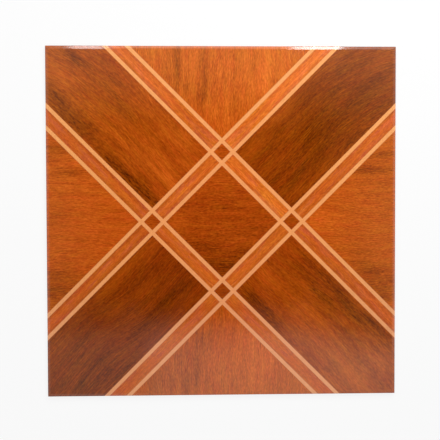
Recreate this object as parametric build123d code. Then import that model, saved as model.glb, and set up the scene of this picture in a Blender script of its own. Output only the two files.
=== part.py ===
from build123d import *

import os
from math import cos, radians, sin

# A square porcelain floor tile, pressed and fired as one piece, lying face up.
# Millimetres. +Z is up, out of the glazed face. +Y is the top of the face as it is
# seen from above. The origin is at the middle of the back, in the plane that the
# tile rests on, which is the crests of its ribs.

# The slab
tile_side = 600.0
tile_thickness = 9.5
corner_radius = 1.2  # seen from above, where two edges of the tile meet

# The cushion edge: the glazed face rolls over before it meets the wall
cushion_radius = 16.0
cushion_angle = 20.0  # degrees of fall where the cushion passes into the nose
nose_radius = 0.8

# The bevel low on each wall, by which the pressed tile leaves its die
back_bevel_width = 1.0
back_bevel_height = 2.0

# The key pattern on the back: drafted square pockets between ribs, for the mortar
key_pitch = 28.0
key_rib = 5.0  # width of a rib at its crest
key_depth = 0.8
key_draft = 35.0  # degrees by which a pocket's walls lean
key_border = 20.0  # least width of the plain border round the pockets


def edge_section():
    """The tile's section across one pair of edges, drawn in the XZ plane."""
    half = tile_side / 2
    fall = radians(cushion_angle)
    reach = cushion_radius - nose_radius
    nose_x = half - nose_radius
    nose_z = tile_thickness - cushion_radius + reach * cos(fall)
    cushion_x = nose_x - reach * sin(fall)
    cushion_z = tile_thickness - cushion_radius

    back = Line((0, 0), (half - back_bevel_width, 0))
    bevel = Line(back @ 1, (half, back_bevel_height))
    wall = Line(bevel @ 1, (half, nose_z))
    nose = CenterArc((nose_x, nose_z), nose_radius, 0, 90 - cushion_angle)
    cushion = CenterArc((cushion_x, cushion_z), cushion_radius, 90 - cushion_angle, cushion_angle)
    face = Line(cushion @ 1, (0, tile_thickness))
    right = Curve() + [back, bevel, wall, nose, cushion, face]
    return Plane.XZ * make_face(right + mirror(right, Plane.YZ))


def slab():
    """The plain tile: two like sections crossed, so that the cushions mitre at the corners."""
    across = extrude(edge_section(), tile_side / 2, both=True)
    along = Rot(Z=90) * across
    plan = extrude(RectangleRounded(tile_side, tile_side, corner_radius), tile_thickness)
    return across & along & plan


def key_pockets():
    """The pockets of the back, widest at the back's plane, with a rib crossing at the middle."""
    fit_beside_middle = int((tile_side / 2 - key_border + key_rib / 2) // key_pitch)
    count = 2 * fit_beside_middle
    mouth = key_pitch - key_rib
    pocket = extrude(Rectangle(mouth, mouth), key_depth, taper=key_draft)
    return [place * pocket for place in GridLocations(key_pitch, key_pitch, count, count)]


def floor_tile():
    """The whole tile, which is one solid."""
    return slab() - key_pockets()


os.makedirs("parts", exist_ok=True)
export_step(floor_tile(), "parts/floor_tile.step")
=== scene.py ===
from math import cos, pi, radians, sin, sqrt, tan

import bmesh
import bpy
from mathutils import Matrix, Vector


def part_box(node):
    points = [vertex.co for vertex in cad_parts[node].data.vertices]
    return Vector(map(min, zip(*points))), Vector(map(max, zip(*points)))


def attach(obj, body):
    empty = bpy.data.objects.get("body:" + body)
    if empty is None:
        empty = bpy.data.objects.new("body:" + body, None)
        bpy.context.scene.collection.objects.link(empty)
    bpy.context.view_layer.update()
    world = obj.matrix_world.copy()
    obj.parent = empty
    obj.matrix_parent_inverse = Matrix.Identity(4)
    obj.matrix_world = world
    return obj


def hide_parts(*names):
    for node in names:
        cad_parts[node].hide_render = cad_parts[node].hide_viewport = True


# A square glazed floor tile with a wood parquet print, lying face up. Metres, in the
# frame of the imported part: +Z out of the glazed face, +Y at the top of the face.

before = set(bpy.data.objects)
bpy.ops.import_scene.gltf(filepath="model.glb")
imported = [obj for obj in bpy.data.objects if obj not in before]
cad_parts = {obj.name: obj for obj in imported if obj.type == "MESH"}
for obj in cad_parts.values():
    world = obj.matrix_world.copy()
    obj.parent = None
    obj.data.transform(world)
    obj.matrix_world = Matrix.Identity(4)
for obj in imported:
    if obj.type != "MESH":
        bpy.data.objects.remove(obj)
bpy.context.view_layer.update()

NODE = "floor_tile"
_, tile_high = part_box(NODE)
MM = 0.001
HALF = tile_high.x
THICKNESS = tile_high.z

# The edge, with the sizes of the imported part
CORNER_RADIUS = 1.2 * MM
INNER_CORNER_RADIUS = 0.35 * MM  # least corner radius of the rings on the cushion
CUSHION_RADIUS = 16.0 * MM
CUSHION_FALL = radians(20)
NOSE_RADIUS = 0.8 * MM
BEVEL_WIDTH = 1.0 * MM
BEVEL_HEIGHT = 2.0 * MM
BEVEL_SOFTENING = 0.2 * MM  # where the rounding of the bevel's two corners starts
FLAT_SUPPORT = 2.0 * MM  # width of a level strip inside the cushion, which keeps the face flat
WALL_SUPPORT = 2.5 * MM  # the same below the nose, for the wall

# The key pattern of the back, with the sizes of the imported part
KEY_PITCH = 28.0 * MM
KEY_RIB = 5.0 * MM
KEY_DEPTH = 0.8 * MM
KEY_DRAFT = radians(35)
KEY_CORNER = 2.5 * MM  # a pocket's rounding seen from below
KEY_FOOT_CORNER = 0.2 * MM  # the least that it shrinks to towards the pocket's floor
KEY_LIP = 0.12 * MM  # rounding of a rib's crest and of a pocket's foot
KEY_PER_SIDE = 20

# Heights on the wall, from the back
PRINT_LOW = THICKNESS - 2.4 * MM  # the faces above it have the print
GLAZE_LOW = 7.15 * MM  # the glaze's border before its sway lowers it
INK_LOW = 7.2 * MM  # where stray ink begins to brown the glaze
INK_HIGH = 8.8 * MM
GLAZE_SWAY = 1.6 * MM
GLAZE_EDGE = 0.2 * MM
GLAZE_IOR = 1.6

# The parquet print. Two bands cross two others, all on the diagonals. BAND_REACH is how
# far from the middle a band's centre line cuts the axes of the tile.
BAND_REACH = 119.6 * MM
BAND_LINE = BAND_REACH / sqrt(2)
STRIP_HALF = 10.2 * MM
STRINGER_WIDTH = 6.3 * MM
BAND_HALF = STRIP_HALF + STRINGER_WIDTH
JOINT_WIDTH = 0.7 * MM
LINE_SOFTNESS = 0.25 * MM  # half the width over which one wood passes into the next
STRINGER_SOFTNESS = 0.5 * MM


def key_profile():
    """A pocket's wall from the crest of its rib to its floor, as (inset from the mouth, height)."""
    foot = KEY_DEPTH * tan(KEY_DRAFT)
    return [
        (-2 * KEY_LIP, 0.0),
        (0.3 * KEY_LIP, KEY_LIP),
        (foot - 0.3 * KEY_LIP, KEY_DEPTH - KEY_LIP),
        (foot + 2 * KEY_LIP, KEY_DEPTH),
    ]


def arc(centre, radius, start, end, steps):
    """Points (out, up) on an arc of the edge's section, without its first point."""
    turn = (end - start) / steps
    angles = [start + turn * (i + 1) for i in range(steps)]
    return [(centre[0] + radius * cos(a), centre[1] + radius * sin(a)) for a in angles]


def edge_profile():
    """The edge's section from the flat of the face down to the back.

    Its points are (distance from the middle, height).
    """
    level = pi / 2
    steep = level - CUSHION_FALL
    reach = CUSHION_RADIUS - NOSE_RADIUS
    cushion_up = THICKNESS - CUSHION_RADIUS
    nose = (HALF - NOSE_RADIUS, cushion_up + reach * cos(CUSHION_FALL))
    cushion = (nose[0] - reach * sin(CUSHION_FALL), cushion_up)
    soft = BEVEL_SOFTENING
    profile = [(cushion[0] - FLAT_SUPPORT, THICKNESS), (cushion[0], THICKNESS)]
    profile += arc(cushion, CUSHION_RADIUS, level, steep, 10)
    profile += arc(nose, NOSE_RADIUS, steep, 0, 7)
    profile += [(HALF, nose[1] - WALL_SUPPORT)]
    profile += [(HALF, BEVEL_HEIGHT + soft), (HALF - 0.3 * soft, BEVEL_HEIGHT - 0.75 * soft)]
    profile += [(HALF - BEVEL_WIDTH + 0.6 * soft, soft), (HALF - BEVEL_WIDTH - 0.6 * soft, 0.0)]
    return profile


def quarter_turns(points):
    """The points of one side of a ring and those of its other three sides, counter-clockwise."""
    ring = []
    for _ in range(4):
        ring += points
        points = [(-y, x) for x, y in points]
    return ring


def rounded_corner(reach, radius, steps):
    """The corner at (reach, reach) of a rounded square, counter-clockwise."""
    angles = [pi / 2 * step / steps for step in range(steps + 1)]
    middle = reach - radius
    return [(middle + radius * cos(a), middle + radius * sin(a)) for a in angles]


class TileMesh:
    """The tile's mesh: rings round the edge, a grid on the face and the key pattern on the back."""

    CORNER_STEPS = 6
    POCKET_STEPS = 3

    def __init__(self):
        self.mesh = bmesh.new()
        self.field = KEY_PITCH * KEY_PER_SIDE / 2
        self.stops = [-self.field + KEY_PITCH * i for i in range(KEY_PER_SIDE + 1)]
        self.shared = {}

    def vertex(self, x, y, z):
        """One vertex for each place, so that neighbouring faces share it."""
        key = (round(x * 1e7), round(y * 1e7), round(z * 1e7))
        if key not in self.shared:
            self.shared[key] = self.mesh.verts.new((x, y, z))
        return self.shared[key]

    def vertices(self, places, z):
        return [self.vertex(x, y, z) for x, y in places]

    def face(self, corners):
        self.mesh.faces.new(corners).smooth = True

    def ring(self, out, up):
        """The vertices round the tile at a distance from its middle, with rounded corners."""
        radius = max(CORNER_RADIUS - (HALF - out), INNER_CORNER_RADIUS)
        side = [(out, stop) for stop in self.stops]
        side += rounded_corner(out, radius, self.CORNER_STEPS)
        return self.vertices(quarter_turns(side), up)

    def join(self, upper, lower):
        """A belt of faces between two rings round the tile."""
        for i in range(len(upper)):
            after = (i + 1) % len(upper)
            self.face([upper[i], lower[i], lower[after], upper[after]])

    def border(self, ring, up, face_up):
        """Fills between a ring and the square field inside it, at the same height."""
        per_side = len(self.stops) + self.CORNER_STEPS + 1
        inner = self.vertices(quarter_turns([(self.field, stop) for stop in self.stops]), up)
        for side in range(4):
            first_outer = side * per_side
            first_inner = side * len(self.stops)
            for i in range(KEY_PER_SIDE):
                a, b = ring[first_outer + i], ring[first_outer + i + 1]
                c, d = inner[first_inner + i + 1], inner[first_inner + i]
                self.face([a, b, c, d] if face_up else [d, c, b, a])
            corner = inner[first_inner + KEY_PER_SIDE]
            for i in range(KEY_PER_SIDE, per_side):
                a, b = ring[first_outer + i], ring[(first_outer + i + 1) % len(ring)]
                self.face([a, b, corner] if face_up else [corner, b, a])

    def face_grid(self):
        """The flat of the glazed face, in squares."""
        square = [(0, 0), (KEY_PITCH, 0), (KEY_PITCH, KEY_PITCH), (0, KEY_PITCH)]
        for x in self.stops[:-1]:
            for y in self.stops[:-1]:
                self.face(self.vertices([(x + i, y + j) for i, j in square], THICKNESS))

    def pocket_ring(self, x, y, inset, up):
        """The vertices of a pocket's outline, a rounded square, counter-clockwise from above."""
        half = (KEY_PITCH - KEY_RIB) / 2 - inset
        radius = max(KEY_CORNER - inset, KEY_FOOT_CORNER)
        outline = quarter_turns(rounded_corner(half, radius, self.POCKET_STEPS))
        return self.vertices([(x + i, y + j) for i, j in outline], up)

    def pocket(self, x, y):
        """One cell of the key pattern, centred at x, y: its share of the ribs, and its pocket."""
        half = KEY_PITCH / 2
        per_corner = self.POCKET_STEPS + 1
        cell = self.vertices([(x + i, y + j) for i, j in quarter_turns([(half, half)])], 0)
        rings = [self.pocket_ring(x, y, inset, up) for inset, up in key_profile()]
        mouth = rings[0]
        for side in range(4):
            first = side * per_corner
            last = first + per_corner - 1
            for i in range(first, last):
                self.face([cell[side], mouth[i + 1], mouth[i]])
            after = mouth[(last + 1) % len(mouth)]
            self.face([cell[side], cell[(side + 1) % 4], after, mouth[last]])
        for outer, inner in zip(rings, rings[1:]):
            for i in range(len(outer)):
                after = (i + 1) % len(outer)
                self.face([outer[i], outer[after], inner[after], inner[i]])
        self.face(list(reversed(rings[-1])))

    def build(self):
        rings = [self.ring(out, up) for out, up in edge_profile()]
        for upper, lower in zip(rings, rings[1:]):
            self.join(upper, lower)
        self.border(rings[0], THICKNESS, face_up=True)
        self.border(rings[-1], 0.0, face_up=False)
        self.face_grid()
        middles = [stop + KEY_PITCH / 2 for stop in self.stops[:-1]]
        for x in middles:
            for y in middles:
                self.pocket(x, y)
        bmesh.ops.recalc_face_normals(self.mesh, faces=self.mesh.faces)
        return self.mesh


def mesh_object(name, built):
    """A new object in the scene from a finished bmesh."""
    data = bpy.data.meshes.new(name)
    built.to_mesh(data)
    built.free()
    made = bpy.data.objects.new(name, data)
    bpy.context.scene.collection.objects.link(made)
    return made


def unwrap(tile):
    """A UV map that gives the face most of the room, the back a column and each wall a strip."""
    gap, large, narrow, strip = 0.01, 0.80, 0.16, 0.034
    side = 2 * HALF
    mesh = tile.data
    layer = mesh.uv_layers.new(name="OFBake")
    for polygon in mesh.polygons:
        normal = polygon.normal
        for loop in polygon.loop_indices:
            x, y, z = mesh.vertices[mesh.loops[loop].vertex_index].co
            if normal.z > 0.5:
                spot = (gap + large * (x / side + 0.5), gap + large * (y / side + 0.5))
            elif normal.z < -0.5:
                column = 2 * gap + large + narrow * (0.5 - x / side)
                spot = (column, gap + large * (y / side + 0.5))
            else:
                if abs(normal.x) > abs(normal.y):
                    row, along = (0, y) if normal.x > 0 else (1, -y)
                else:
                    row, along = (2, -x) if normal.y > 0 else (3, x)
                bottom = 2 * gap + large + row * (strip + gap / 2)
                spot = (gap + (1 - 2 * gap) * (along / side + 0.5), bottom + strip * z / THICKNESS)
            layer.data[loop].uv = spot


class Shader:
    """A node tree. Each method adds a node and gives its output, unless it says otherwise."""

    def __init__(self, tree):
        self.tree = tree
        self.tree.nodes.clear()

    def node(self, kind, inputs=(), **settings):
        """Gives the node itself."""
        made = self.tree.nodes.new(kind)
        for name, value in settings.items():
            setattr(made, name, value)
        for socket, value in dict(inputs).items():
            self.feed(made.inputs[socket], value)
        return made

    def feed(self, socket, value):
        """Links an output to a socket, or sets the socket's own number."""
        if isinstance(value, bpy.types.NodeSocket):
            self.tree.links.new(value, socket)
        else:
            socket.default_value = value

    def end(self, kind, surface):
        """Ends the tree in its output node."""
        self.node(kind, {"Surface": surface})

    def math(self, operation, *values):
        inputs = dict(enumerate(values))
        return self.node("ShaderNodeMath", inputs, operation=operation).outputs[0]

    def add(self, a, b):
        return self.math("ADD", a, b)

    def subtract(self, a, b):
        return self.math("SUBTRACT", a, b)

    def times(self, a, b):
        return self.math("MULTIPLY", a, b)

    def plus_times(self, a, b, c):
        """a times b, plus c."""
        return self.math("MULTIPLY_ADD", a, b, c)

    def size(self, a):
        """a without its sign."""
        return self.math("ABSOLUTE", a)

    def linear(self, value, low, high, to_low=0.0, to_high=1.0, **settings):
        """A straight passage from to_low at low to to_high at high."""
        inputs = {"Value": value, "From Min": low, "From Max": high}
        inputs.update({"To Min": to_low, "To Max": to_high})
        return self.node("ShaderNodeMapRange", inputs, **settings).outputs["Result"]

    def smooth(self, value, low, high, to_low=0.0, to_high=1.0):
        """The same passage with soft ends."""
        return self.linear(value, low, high, to_low, to_high, interpolation_type="SMOOTHSTEP")

    def pick(self, factor, off, on):
        """off where factor is 0, on where it is 1."""
        inputs = {"Factor": factor, 2: off, 3: on}
        return self.node("ShaderNodeMix", inputs, data_type="FLOAT").outputs[0]

    def blend(self, factor, off, on, way="MIX"):
        """The same for colours."""
        settings = {"data_type": "RGBA", "blend_type": way, "clamp_factor": True}
        inputs = {"Factor": factor, 6: off, 7: on}
        return self.node("ShaderNodeMix", inputs, **settings).outputs[2]

    def vector(self, x, y, z):
        return self.node("ShaderNodeCombineXYZ", {0: x, 1: y, 2: z}).outputs[0]

    def parts(self, vector):
        """Gives three outputs: x, y and z."""
        return self.node("ShaderNodeSeparateXYZ", {0: vector}).outputs

    def length(self, vector):
        made = self.node("ShaderNodeVectorMath", {0: vector}, operation="LENGTH")
        return made.outputs["Value"]

    def place(self, kind="Object"):
        return self.node("ShaderNodeTexCoord").outputs[kind]

    def camera_ray(self):
        return self.node("ShaderNodeLightPath").outputs["Is Camera Ray"]

    def noise(self, vector, detail=2.0, roughness=0.5):
        """Noise of about 0.5 on the average, whose grains are one unit of the vector apart."""
        inputs = {"Vector": vector, "Scale": 1.0, "Detail": detail, "Roughness": roughness}
        return self.node("ShaderNodeTexNoise", inputs, noise_dimensions="3D").outputs["Fac"]

    def cloud(self, place, apart, detail, roughness=0.5):
        """Noise at a place, whose grains are the same distance apart every way."""
        scaled = self.node("ShaderNodeVectorMath", {0: place, 3: 1 / apart}, operation="SCALE")
        return self.noise(scaled.outputs[0], detail, roughness)

    def ramp(self, factor, stops):
        """A colour ramp through (place, colour) stops."""
        made = self.node("ShaderNodeValToRGB", {"Fac": factor})
        elements = made.color_ramp.elements
        while len(elements) < len(stops):
            elements.new(0.5)
        for element, (place, colour) in zip(elements, stops):
            element.position = place
            element.color = (*colour, 1.0)
        return made.outputs["Color"]

    def finish(self, colour, roughness, height, depth, strength):
        """Ends a material in a Principled surface with a bump, and gives that surface's node."""
        bump = {"Height": height, "Strength": strength, "Distance": depth}
        normal = self.node("ShaderNodeBump", bump).outputs["Normal"]
        inputs = {"Base Color": colour, "Roughness": roughness, "Normal": normal}
        surface = self.node("ShaderNodeBsdfPrincipled", inputs)
        self.end("ShaderNodeOutputMaterial", surface.outputs[0])
        return surface


def new_material(name):
    """An empty material, and the shader that fills its tree."""
    material = bpy.data.materials.new(name)
    material.use_nodes = True
    return material, Shader(material.node_tree)


def wood_colours():
    """The print's browns by how much red they reflect, from dark heart wood to pale sap wood."""
    stops = []
    for red in [0.04, 0.12, 0.22, 0.34, 0.48, 0.64, 0.82, 1.0]:
        green = 0.12 * red + 0.115 * red * red
        blue = 0.0008 + 0.028 * red**3
        stops.append((red, (red, green, blue)))
    return stops


# Each panel of the parquet, by which side of the bands it lies on. base is how much red
# the wood reflects, hue scales its green, contrast scales its grain and fine, where it is
# given, narrows it. grain is the way the grain runs, and bend is where along it, in
# millimetres, the grain starts to turn towards the next edge, and how fast. The streaks
# of its figure are (along the grain, across it, half length, half width, strength), in
# millimetres from the middle of the tile, and a strength below 0 is darker.
ALONG_X, ALONG_Y, ALONG_U, ALONG_V = range(4)
PANELS = {
    "centre": dict(
        u=0, v=0, grain=ALONG_X, base=0.415, hue=1.0, contrast=1.35,
        streaks=[
            (0, 72, 80, 34, 0.18), (0, -80, 90, 40, -0.40), (-35, -42, 60, 18, -0.30),
            (45, -52, 50, 18, -0.22), (-45, 2, 12, 8, -0.10), (-74, -2, 28, 22, 0.24),
            (55, -10, 60, 10, -0.16), (-20, 42, 60, 5, -0.08), (0, 24, 30, 8, -0.12),
            (45, 30, 36, 10, 0.16), (-40, 50, 30, 12, 0.12), (-30, 4, 30, 6, 0.08),
            (34, -30, 40, 9, 0.14), (-18, -66, 26, 9, -0.10),
        ],
    ),
    "top": dict(
        u=1, v=1, grain=ALONG_Y, base=0.615, hue=0.97, contrast=1.05, fine=1.3,
        streaks=[
            (270, -76, 75, 11, -0.34), (226, -62, 30, 10, -0.24), (250, -30, 80, 11, -0.28),
            (215, -38, 34, 11, -0.24), (265, -50, 50, 9, 0.16), (215, -84, 40, 14, -0.16),
            (260, -92, 60, 14, -0.16), (250, -4, 60, 8, 0.10), (265, 76, 70, 26, 0.18),
            (232, 70, 40, 16, 0.18), (225, 54, 40, 9, 0.12), (200, 28, 50, 14, -0.10),
            (280, 110, 60, 25, 0.12), (270, 42, 50, 14, 0.12), (275, 10, 40, 14, 0.12),
            (200, -8, 30, 7, 0.06), (225, -25, 30, 8, -0.10),
        ],
    ),
    "left": dict(
        u=-1, v=1, grain=ALONG_X, base=0.568, hue=0.88, contrast=1.03, fine=1.3,
        streaks=[
            (-258, 86, 50, 13, -0.30), (-285, 125, 50, 20, -0.20), (-280, -120, 120, 50, -0.32),
            (-280, -88, 60, 12, -0.16), (-220, 40, 90, 25, 0.05), (-230, 14, 60, 10, 0.06),
            (-290, 4, 40, 14, -0.12), (-260, 60, 50, 8, 0.10), (-225, -12, 60, 12, 0.06),
        ],
    ),
    "right": dict(
        u=1, v=-1, grain=ALONG_X, base=0.55, hue=0.95, contrast=1.14, fine=1.3,
        streaks=[
            (252, 88, 70, 15, -0.32), (170, 2, 60, 30, 0.20), (275, -112, 90, 44, -0.28),
            (262, -84, 50, 15, -0.24), (275, -135, 40, 14, -0.20), (238, -72, 34, 10, -0.24),
            (240, -56, 40, 12, -0.14), (275, 114, 50, 14, -0.26), (245, 104, 30, 9, -0.12),
            (285, 65, 30, 10, -0.14), (205, 54, 44, 12, 0.12), (262, 22, 40, 10, 0.10),
            (255, -10, 50, 8, 0.06),
        ],
    ),
    "bottom": dict(
        u=-1, v=-1, grain=ALONG_Y, base=0.553, hue=0.95, contrast=1.07, fine=1.2,
        streaks=[
            (-250, -78, 90, 34, -0.18), (-240, 55, 80, 45, 0.12), (-195, 5, 36, 6, -0.04),
            (-200, -44, 70, 14, -0.26), (-205, -32, 34, 9, -0.18), (-265, -45, 60, 13, -0.34),
            (-198, -20, 40, 12, -0.18), (-232, -34, 50, 10, -0.12), (-282, -62, 40, 14, -0.20),
            (-275, -25, 30, 12, -0.14), (-230, 20, 50, 14, 0.08), (-240, 80, 40, 16, 0.18),
            (-265, -100, 40, 14, -0.12), (-280, -118, 50, 22, -0.26),
            (-284, -90, 30, 10, -0.12), (-212, -62, 30, 8, -0.12),
        ],
    ),
    "upper_left": dict(
        u=0, v=1, grain=ALONG_V, base=0.43, hue=0.98, contrast=1.12, bend=(298, 1.45),
        streaks=[
            (124, -62, 70, 22, -0.46), (192, -61, 80, 19, -0.45), (290, -54, 70, 22, -0.38),
            (336, -64, 50, 12, -0.18), (355, -48, 50, 22, -0.38), (190, -20, 190, 11, 0.20),
            (125, -10, 50, 18, 0.14), (280, 18, 90, 22, -0.16), (348, 28, 30, 12, -0.18),
            (375, 20, 40, 16, -0.42), (376, -16, 50, 14, 0.26), (320, 45, 60, 22, -0.16),
            (150, 44, 90, 26, 0.24), (215, 55, 50, 14, 0.14), (112, -14, 40, 20, 0.26),
            (150, 2, 60, 16, 0.24), (150, 66, 30, 10, 0.12), (190, 50, 30, 8, -0.10),
            (354, -6, 34, 9, 0.18), (219, -36, 30, 10, -0.16), (141, -44, 34, 12, -0.18),
            (272, -42, 30, 8, -0.12), (209, 8, 40, 9, 0.14), (226, 42, 30, 9, 0.14),
            (117, 20, 30, 12, 0.16), (244, 64, 40, 10, 0.14), (283, 42, 40, 10, -0.12),
        ],
    ),
    "upper_right": dict(
        u=1, v=0, grain=ALONG_U, base=0.271, hue=1.12, contrast=1.35, bend=(240, 1.4),
        streaks=[
            (120, 50, 70, 22, 0.46), (200, 60, 90, 14, 0.42), (125, 8, 60, 14, 0.22),
            (232, 10, 50, 12, -0.20), (245, -14, 84, 34, -0.26), (187, 26, 40, 9, 0.12),
            (286, 18, 50, 14, -0.16), (255, 42, 40, 10, -0.14), (335, -18, 70, 26, -0.28),
            (168, -36, 70, 14, -0.24), (184, -60, 44, 12, 0.16), (134, -54, 40, 12, 0.22),
            (204, -28, 30, 10, -0.12), (110, -34, 26, 8, 0.10), (113, -14, 24, 9, -0.12),
            (254, -58, 40, 10, -0.16), (398, 2, 60, 28, 0.26), (205, -4, 40, 14, -0.14),
            (330, 60, 80, 18, 0.34), (357, 36, 40, 12, 0.18), (209, 52, 30, 9, 0.12),
            (150, -62, 50, 9, 0.16),
        ],
    ),
    "lower_left": dict(
        u=-1, v=0, grain=ALONG_U, base=0.253, hue=1.02, contrast=1.25,
        streaks=[
            (-113, 56, 70, 19, 0.44), (-195, 60, 90, 16, 0.62), (-140, -28, 60, 13, -0.24),
            (-205, -30, 80, 16, -0.34), (-176, 11, 44, 14, 0.32), (-235, 22, 40, 12, 0.24),
            (-120, -58, 60, 12, 0.12), (-170, -28, 30, 9, -0.12), (-110, 24, 30, 12, 0.14),
            (-300, 26, 60, 14, -0.14), (-300, 44, 34, 10, -0.14), (-335, -40, 90, 22, -0.22),
            (-340, 46, 90, 20, 0.16), (-322, -18, 60, 14, -0.30), (-366, -24, 34, 12, -0.30),
            (-300, -62, 54, 12, -0.22), (-187, -48, 34, 9, -0.12), (-122, -35, 30, 8, -0.12),
            (-338, 8, 30, 9, -0.12), (-385, -4, 34, 14, -0.20), (-292, 64, 40, 10, 0.14),
        ],
    ),
    "lower_right": dict(
        u=0, v=-1, grain=ALONG_V, base=0.395, hue=1.0, contrast=1.12,
        streaks=[
            (-150, -58, 80, 19, -0.52), (-195, -64, 34, 10, -0.14), (-125, -14, 60, 20, 0.30),
            (-225, -4, 110, 18, 0.26), (-180, 36, 90, 16, -0.30), (-200, 58, 110, 16, -0.38),
            (-240, 52, 40, 14, -0.20), (-155, 52, 40, 12, -0.14), (-225, 28, 60, 12, -0.22),
            (-163, -34, 30, 9, -0.12), (-242, -38, 30, 9, -0.12), (-201, -20, 40, 10, 0.12),
            (-275, 44, 60, 14, -0.28), (-290, 20, 50, 10, -0.12), (-250, -32, 70, 14, 0.26),
            (-316, -26, 50, 16, 0.24), (-365, -32, 60, 20, 0.26), (-365, 22, 40, 14, 0.24),
            (-330, -62, 40, 12, 0.20), (-310, 56, 90, 14, -0.20), (-315, 62, 50, 12, -0.22),
        ],
    ),
}

# The strips down the middle of the bands are cut at the crossings. For each of the two
# bands that run one way, the red of its three pieces from its low end to its high end.
STRIPS_ALONG_V = {1: (0.61, 0.74, 0.67), -1: (0.62, 0.63, 0.61)}
STRIPS_ALONG_U = {1: (0.58, 0.67, 0.77), -1: (0.61, 0.64, 0.64)}
BLOCKS = {(1, 1): 0.49, (-1, 1): 0.445, (1, -1): 0.390, (-1, -1): 0.355}
STRIP_LOOK = dict(hue=1.03, contrast=0.8)
BLOCK_LOOK = dict(hue=0.90, contrast=1.0)

# The grain's noises: length along it and width across it in millimetres, and a shift
# that sets each apart from the others
BROAD = (130, 9, 0.0)
FIBRE = (44, 2.4, 40.0)
DASH = (13, 2.1, 60.0)
FLECK = (5.2, 1.9, 90.0)
PORES = (12, 1.7, 80.0)
THREADS = (80, 1.6, 140.0)
LONG_HUE = (60, 14, 120.0)
SHORT_HUE = (20, 5, 150.0)
ROSY = (42, 8, 100.0)

# The grain sways from side to side, in waves longer than the panels are wide
SWAY_WAVE = (170 * MM, 120 * MM)
SWAY = {ALONG_X: 28 * MM, ALONG_Y: 28 * MM, ALONG_U: 40 * MM, ALONG_V: 40 * MM}

# The stringers' colour in the upper part of the tile, and a darker, duller one below it that is
# painted shade, where the light falls off towards the bottom of the tile
PALE_UPPER = (0.94, 0.364, 0.126)
PALE_LOWER_SHADED = (0.87, 0.333, 0.148)
JOINT_COLOUR = (0.16, 0.03, 0.004, 1.0)


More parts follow.
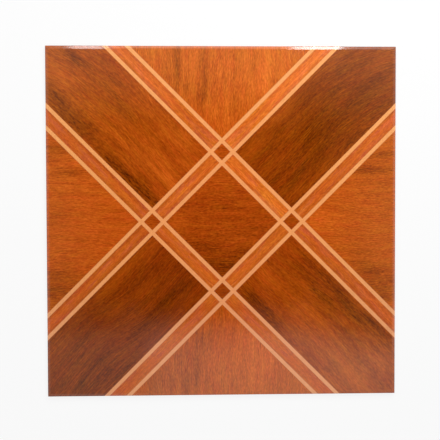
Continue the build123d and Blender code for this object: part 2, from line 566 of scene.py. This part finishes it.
class Parquet:
    """The print as nodes: the layout, then the wood at each place, then its grain."""

    def __init__(self, shader):
        self.shader = shader
        self.place = shader.place()
        self.from_middle = shader.length(self.place)
        self.lay_out()
        self.sway_grain()
        self.fill_panels()
        self.fill_bands()

    def beyond(self, value, limit):
        """1 where a coordinate is past a limit, 0 before it."""
        return self.shader.linear(value, limit - LINE_SOFTNESS, limit + LINE_SOFTNESS)

    def across_bands(self, value):
        """The distance from the nearer band's centre line, and masks of the bands' three sides."""
        shader = self.shader
        gap = shader.size(shader.subtract(shader.size(value), BAND_LINE))
        high = self.beyond(value, BAND_LINE)
        low = self.beyond(shader.times(value, -1.0), BAND_LINE)
        middle = shader.subtract(1.0, shader.add(high, low))
        return gap, {-1: low, 0: middle, 1: high}

    def lay_out(self):
        """Where the panels, the strips and the blocks at the crossings are."""
        shader = self.shader
        self.x, self.y, _ = shader.parts(self.place)
        self.u = shader.times(shader.add(self.x, self.y), 1 / sqrt(2))
        self.v = shader.times(shader.subtract(self.y, self.x), 1 / sqrt(2))
        self.u_gap, self.side_u = self.across_bands(self.u)
        self.v_gap, self.side_v = self.across_bands(self.v)
        self.on_u_band = shader.subtract(1.0, self.beyond(self.u_gap, BAND_HALF))
        self.on_v_band = shader.subtract(1.0, self.beyond(self.v_gap, BAND_HALF))
        self.upper_u = shader.math("GREATER_THAN", self.u, 0.0)
        self.upper_v = shader.math("GREATER_THAN", self.v, 0.0)
        self.block = shader.times(self.on_u_band, self.on_v_band)
        self.on_band = shader.math("MAXIMUM", self.on_u_band, self.on_v_band)
        self.strip = shader.subtract(self.on_band, self.block)

    def sway_grain(self):
        """The straight and the swaying coordinates, along and across, of each way of the grain."""
        shader = self.shader
        length, width = SWAY_WAVE
        self.straight = {
            ALONG_X: (self.x, self.y),
            ALONG_Y: (self.y, self.x),
            ALONG_U: (self.u, self.v),
            ALONG_V: (self.v, self.u),
        }
        self.swaying = {}
        for way, (along, across) in self.straight.items():
            wave = (shader.times(along, 1 / length), shader.times(across, 1 / width))
            noise = shader.noise(shader.vector(*wave, 3.7 * way), detail=0.0)
            sway = shader.times(shader.subtract(noise, 0.5), SWAY[way])
            self.swaying[way] = (along, shader.add(across, sway))

    def streaks(self, spot, streaks):
        """The figure of one panel: soft long patches, lighter or darker, added up."""
        shader = self.shader
        total = 0.0
        centre = Vector((0.0, 0.0, 0.0))
        size = Vector((1.0, 1.0, 1.0))
        local = spot
        for along, across, half_length, half_width, strength in streaks:
            # Each streak's own coordinates come from those of the one before it
            next_centre = Vector((along * MM, across * MM, 0.0))
            next_size = Vector((half_length * MM, half_width * MM, 1.0))
            scale = [old / new for old, new in zip(size, next_size)]
            shift = [(old - new) / width for old, new, width in zip(centre, next_centre, next_size)]
            inputs = {0: local, 1: scale, 2: shift}
            made = shader.node("ShaderNodeVectorMath", inputs, operation="MULTIPLY_ADD")
            local = made.outputs[0]
            total = shader.add(total, shader.smooth(shader.length(local), 1.0, 0.0, 0.0, strength))
            centre, size = next_centre, next_size
        return total

    def fill_panels(self):
        """The panel at each place: its wood, its grain's coordinates and its own seed."""
        shader = self.shader
        self.base = self.figure = self.hue = self.contrast = self.fine = 0.0
        self.seed = self.along = self.across = 0.0
        for number, panel in enumerate(PANELS.values()):
            mask = shader.times(self.side_u[panel["u"]], self.side_v[panel["v"]])
            along, across = self.swaying[panel["grain"]]
            if "bend" in panel:
                start, rate = panel["bend"]
                past = shader.math("MAXIMUM", shader.subtract(along, start * MM), 0.0)
                across = shader.plus_times(shader.times(past, past), rate, across)
            spot = shader.vector(*self.straight[panel["grain"]], 0.0)
            figure = self.streaks(spot, panel["streaks"])
            self.base = shader.plus_times(mask, panel["base"], self.base)
            self.hue = shader.plus_times(mask, panel["hue"], self.hue)
            self.contrast = shader.plus_times(mask, panel["contrast"], self.contrast)
            self.fine = shader.plus_times(mask, panel.get("fine", 1.0), self.fine)
            self.figure = shader.plus_times(mask, figure, self.figure)
            self.seed = shader.plus_times(mask, 5.0 + 2.3 * number, self.seed)
            self.along = shader.plus_times(mask, along, self.along)
            self.across = shader.plus_times(mask, across, self.across)

        # Broad streaks are weaker where the grain is fine
        self.broad_weight = shader.linear(self.fine, 1.0, 1.3, 0.52, 0.34)

    def strip_base(self, pieces, sections, upper):
        """The red of the strips that run one way."""
        shader = self.shader
        bands = {}
        for side, bases in pieces.items():
            bands[side] = 0.0
            for mask, base in zip(sections.values(), bases):
                bands[side] = shader.plus_times(mask, base, bands[side])
        return shader.pick(upper, bands[-1], bands[1])

    def block_base(self):
        """The red of the four blocks at the crossings."""
        shader = self.shader
        total = 0.0
        for (side_u, side_v), base in BLOCKS.items():
            is_u = self.upper_u if side_u > 0 else shader.subtract(1.0, self.upper_u)
            is_v = self.upper_v if side_v > 0 else shader.subtract(1.0, self.upper_v)
            total = shader.plus_times(shader.times(is_u, is_v), base, total)
        return total

    def fill_bands(self):
        """The same for the bands: strips have their grain along the band, blocks along X."""
        shader = self.shader
        on_u = self.on_u_band
        along_u, along_v = self.swaying[ALONG_U][0], self.swaying[ALONG_V][0]
        self.along = shader.pick(self.on_band, self.along, shader.pick(on_u, along_u, along_v))
        self.across = shader.pick(self.on_band, self.across, shader.pick(on_u, self.v, self.u))
        self.along = shader.pick(self.block, self.along, self.swaying[ALONG_X][0])
        self.across = shader.pick(self.block, self.across, self.swaying[ALONG_X][1])

        # A strip is darker along its two edges
        gap = shader.pick(on_u, self.v_gap, self.u_gap)
        crown = shader.smooth(gap, 9 * MM, 2 * MM, -0.08, 0.03)
        strip_v = self.strip_base(STRIPS_ALONG_V, self.side_v, self.upper_u)
        strip_u = self.strip_base(STRIPS_ALONG_U, self.side_u, self.upper_v)
        self.base = shader.pick(self.strip, self.base, shader.pick(on_u, strip_u, strip_v))
        self.figure = shader.pick(self.strip, self.figure, crown)
        self.base = shader.pick(self.block, self.base, self.block_base())
        self.figure = shader.pick(self.block, self.figure, 0.0)

        piece = shader.add(shader.times(self.upper_u, 1.7), shader.times(self.upper_v, 2.9))
        self.seed = shader.pick(self.on_band, self.seed, shader.add(piece, 31.0))
        self.fine = shader.pick(self.on_band, self.fine, 1.0)
        self.contrast = shader.pick(self.on_band, self.contrast, STRIP_LOOK["contrast"])
        self.contrast = shader.pick(self.block, self.contrast, BLOCK_LOOK["contrast"])

    def grained(self, noise, fine=1.0, detail=1.0):
        """One of the grain's noises, about 0. fine narrows it."""
        shader = self.shader
        length, width, shift = noise
        spot = shader.vector(
            shader.times(self.along, 1 / (length * MM)),
            shader.times(shader.times(self.across, fine), 1 / (width * MM)),
            shader.add(self.seed, shift),
        )
        return shader.subtract(shader.noise(spot, detail), 0.5)

    def grain_tone(self):
        """How light the grain makes the wood, about 0, and the two noises that mottle it."""
        shader = self.shader
        fibre = self.grained(FIBRE, self.fine)
        dash = self.grained(DASH, self.fine)
        fleck = self.grained(FLECK, self.fine)
        pores = shader.smooth(self.grained(PORES), 0.07, 0.20)
        grain = shader.times(fibre, 0.38)
        grain = shader.plus_times(shader.math("MAXIMUM", dash, -0.09), 0.62, grain)
        grain = shader.plus_times(fleck, 0.74, grain)
        grain = shader.plus_times(pores, -0.12, grain)

        # Dark wood has light threads in it
        threads = shader.smooth(self.grained(THREADS), 0.08, 0.20)
        dark_wood = shader.smooth(self.base, 0.32, 0.24, 0.0, 0.30)
        grain = shader.plus_times(threads, dark_wood, grain)

        broad = shader.times(self.grained(BROAD, detail=2.0), self.broad_weight)
        return shader.plus_times(grain, self.contrast, broad), dash, fleck

    def tinted(self, wood):
        """The print is redder towards the middle and duller in its dark streaks, and it drifts."""
        shader = self.shader
        outward = shader.smooth(self.from_middle, 0.04, 0.40, 0.88, 1.17)
        band_hue = shader.pick(self.block, STRIP_LOOK["hue"], BLOCK_LOOK["hue"])
        hue = shader.pick(self.on_band, self.hue, band_hue)
        hue = shader.times(hue, shader.pick(self.on_band, outward, 1.0))
        hue = shader.times(hue, shader.linear(self.figure, -0.5, 0.0, 1.18, 1.0))
        hue = shader.times(hue, shader.plus_times(self.grained(LONG_HUE), 0.35, 1.0))
        hue = shader.times(hue, shader.plus_times(self.grained(SHORT_HUE), 0.36, 1.0))
        wood = shader.blend(1.0, wood, shader.vector(1.0, hue, 1.0), "MULTIPLY")

        # Strips have rosy stretches
        rosy = shader.smooth(self.grained(ROSY), -0.05, 0.20)
        rosy = shader.times(shader.plus_times(rosy, 0.014, 0.005), self.strip)
        return shader.blend(1.0, wood, shader.vector(0.0, 0.0, rosy), "ADD")

    def stringer_colour(self, dash, fleck):
        """The pale wood of the stringers, mottled by the grain's shorter noises, and darker towards
        the bottom of the tile, which is painted shade.
        """
        shader = self.shader
        # Painted shade: the stringers pass to a darker, duller colour towards the bottom of the
        # tile, where the light is weaker
        lower = shader.smooth(self.y, -0.03, -0.22)
        mottle = shader.plus_times(dash, 0.20, shader.plus_times(fleck, 0.20, 0.97))
        yellow = shader.smooth(self.from_middle, 0.05, 0.34, 1.0, 1.08)
        red, green, blue = [
            shader.times(mottle, shader.linear(lower, 0.0, 1.0, above, below))
            for above, below in zip(PALE_UPPER, PALE_LOWER_SHADED)
        ]
        return shader.vector(red, shader.times(green, yellow), blue)

    def colour(self):
        """The colour of the whole print."""
        shader = self.shader
        grain, dash, fleck = self.grain_tone()
        tone = shader.add(0.965, shader.add(self.figure, grain))
        wood = self.tinted(shader.ramp(shader.times(self.base, tone), wood_colours()))

        # The pale stringers, and the thin dark joint on each side of them
        half = STRINGER_WIDTH / 2
        from_u = shader.size(shader.subtract(self.u_gap, STRIP_HALF + half))
        from_v = shader.size(shader.subtract(self.v_gap, STRIP_HALF + half))
        nearest = shader.math("MINIMUM", from_u, from_v)
        joint = shader.smooth(nearest, half + JOINT_WIDTH, half, 0.0, 0.30)
        wood = shader.blend(joint, wood, JOINT_COLOUR)
        stringer = shader.linear(nearest, half + STRINGER_SOFTNESS, half - STRINGER_SOFTNESS)
        return shader.blend(stringer, wood, self.stringer_colour(dash, fleck))


def glazed_print():
    """The glazed face: the print under a clear, hard and nearly level glaze."""
    material, shader = new_material("glazed_print")
    colour = Parquet(shader).colour()
    place = shader.place()
    ripple = shader.cloud(place, 14 * MM, detail=2.0)
    smudge = shader.cloud(place, 60 * MM, detail=3.0)
    roughness = shader.linear(smudge, 0.3, 0.7, 0.05, 0.11)
    surface = shader.finish(colour, roughness, ripple, depth=0.012 * MM, strength=1.0)
    surface.inputs["IOR"].default_value = GLAZE_IOR
    return material


def porcelain_body():
    """The bare fired body of the walls and the back, and the glaze that ran over onto the walls."""
    material, shader = new_material("porcelain_body")
    place = shader.place()
    x, y, z = shader.parts(place)
    speck = shader.cloud(place, 1.6 * MM, detail=2.0, roughness=0.6)
    body = shader.ramp(speck, [
        (0.28, (0.38, 0.31, 0.24)), (0.40, (0.55, 0.48, 0.40)), (0.65, (0.63, 0.57, 0.49)),
    ])

    # The kiln's rollers leave a chalky wash on the crests of the ribs, in tracks along Y
    spot = shader.vector(shader.times(x, 1 / (11 * MM)), shader.times(y, 1 / (240 * MM)), 0.0)
    cloud = shader.cloud(place, 40 * MM, detail=3.0, roughness=0.6)
    wash = shader.plus_times(shader.noise(spot), 0.6, shader.times(cloud, 0.7))
    wash = shader.smooth(wash, 0.58, 0.74, 0.10, 0.75)
    wash = shader.times(wash, shader.smooth(z, KEY_DEPTH / 2, 0.05 * MM))
    body = shader.blend(wash, body, (0.80, 0.77, 0.71, 1.0))
    scuff = shader.smooth(cloud, 0.40, 0.30, 0.0, 0.35)
    body = shader.blend(scuff, body, (0.40, 0.35, 0.29, 1.0))

    # The glaze ends on the wall in a slightly wavy line, browned by stray ink at the top
    height = shader.plus_times(shader.cloud(place, 22 * MM, detail=3.0), GLAZE_SWAY, z)
    glaze = shader.smooth(height, GLAZE_LOW, GLAZE_LOW + GLAZE_EDGE)
    ink = shader.smooth(height, INK_LOW, INK_HIGH, 0.12, 0.95)
    glaze_colour = shader.blend(ink, (0.60, 0.47, 0.33, 1.0), (0.26, 0.085, 0.022, 1.0))
    colour = shader.blend(glaze, body, glaze_colour)
    roughness = shader.pick(glaze, 0.82, 0.12)
    shader.finish(colour, roughness, speck, depth=0.08 * MM, strength=shader.pick(glaze, 0.5, 0.0))
    return material


def make_floor():
    """A level white floor. To the camera it is mostly its own white, and it keeps the shadow."""
    own_white = 0.82
    grid = bmesh.new()
    bmesh.ops.create_grid(grid, x_segments=1, y_segments=1, size=4.0)
    floor = mesh_object("floor", grid)
    material, shader = new_material("floor_white")
    diffuse = shader.node("ShaderNodeBsdfDiffuse", {"Color": (0.86, 0.86, 0.86, 1.0)})
    white = shader.node("ShaderNodeEmission", {"Color": (1.0, 1.0, 1.0, 1.0), "Strength": 1.0})
    share = shader.times(shader.camera_ray(), own_white)
    inputs = {0: share, 1: diffuse.outputs[0], 2: white.outputs[0]}
    shader.end("ShaderNodeOutputMaterial", shader.node("ShaderNodeMixShader", inputs).outputs[0])
    floor.data.materials.append(material)


def make_world():
    """A soft pale dome, dark about the zenith, where the dark ceiling is, and low down."""
    world = bpy.data.worlds.new("studio")
    bpy.context.scene.world = world
    world.use_nodes = True
    shader = Shader(world.node_tree)

    # Where a ray goes, as how far right and back it gets while it rises by one
    x, y, z = shader.parts(shader.place("Generated"))
    up = shader.math("MAXIMUM", z, 0.001)
    right = shader.math("DIVIDE", x, up)
    back = shader.math("DIVIDE", y, up)
    left = shader.times(right, -1.0)
    front = shader.times(back, -1.0)

    def brighter(light, steps):
        """Adds soft steps of light: (way, start, end, how much)."""
        for way, start, end, amount in steps:
            light = shader.add(light, shader.smooth(way, start, end, 0.0, amount))
        return light

    # The dark ceiling ends softly on three sides, and in front where a bright panel begins
    near = brighter(0.0, [
        (back, 0.09, 0.20, 0.35), (back, 0.19, 0.30, 0.45),
        (right, 0.14, 0.33, 0.30), (left, 0.10, 0.30, 0.28),
    ])
    corner = shader.smooth(right, 0.10, 0.27, 0.0, 0.022)
    panel = shader.smooth(right, -0.085, -0.045, 0.40, 0.80)
    panel = shader.times(panel, shader.linear(front, 0.19, 0.23, 1.0, 1.1))
    panel = shader.times(panel, shader.smooth(shader.subtract(front, corner), 0.150, 0.196))
    near = shader.math("MAXIMUM", near, panel)
    wide = brighter(0.985, [(back, 0.30, 0.80, 0.10), (right, 0.30, 0.80, 0.20)])
    outward = shader.smooth(shader.length(shader.vector(right, back, 0.0)), 0.30, 0.85)
    dome = shader.pick(outward, near, wide)
    dome = shader.times(dome, shader.smooth(z, 0.45, 0.70, 0.15, 1.0))
    strength = shader.pick(shader.camera_ray(), dome, 1.0)
    background = shader.node("ShaderNodeBackground", {"Strength": strength})
    background.inputs["Color"].default_value = (1.0, 1.0, 1.0, 1.0)
    shader.end("ShaderNodeOutputWorld", background.outputs[0])


def softbox(name, place, target, width, height, power):
    """A flat rectangular lamp that faces its target."""
    lamp = bpy.data.lights.new(name, "AREA")
    lamp.shape = "RECTANGLE"
    lamp.size = width
    lamp.size_y = height
    lamp.energy = power
    holder = bpy.data.objects.new(name, lamp)
    bpy.context.scene.collection.objects.link(holder)
    holder.location = place
    holder.rotation_euler = (Vector(target) - Vector(place)).to_track_quat("-Z", "Y").to_euler()


def make_camera():
    """The photograph's view, almost straight down, from 1.3 m above the face."""
    height = 1.3
    focal_pixels = 757.4
    picture_pixels = 440
    data = bpy.data.cameras.new("camera")
    data.sensor_width = 36.0
    data.lens = focal_pixels * data.sensor_width / picture_pixels
    data.clip_start = 0.05
    data.clip_end = 50.0
    camera = bpy.data.objects.new("camera", data)
    bpy.context.scene.collection.objects.link(camera)
    camera.location = (-0.0437, 0.0394, THICKNESS + height)
    camera.rotation_euler = (-0.0281, -0.0309, -0.0026)
    bpy.context.scene.camera = camera


tile = mesh_object("tile", TileMesh().build())
unwrap(tile)
tile.data.materials.append(glazed_print())
tile.data.materials.append(porcelain_body())
for polygon in tile.data.polygons:
    polygon.material_index = 0 if polygon.center.z > PRINT_LOW else 1
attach(tile, "root")
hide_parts(NODE)

make_floor()
make_world()
softbox("back_panel", (0.30, 1.05, 1.0), (0.10, 0.10, 0.0), 1.40, 0.60, power=3.2)
softbox("left_strip", (-0.358, 0.775, 0.763), (-0.358, 0.2, 0.0), 0.095, 0.60, power=1.35)
softbox("right_strip", (0.306, 0.775, 0.763), (0.306, 0.2, 0.0), 0.14, 0.60, power=3.8)
make_camera()
bpy.context.scene.view_settings.view_transform = "Standard"
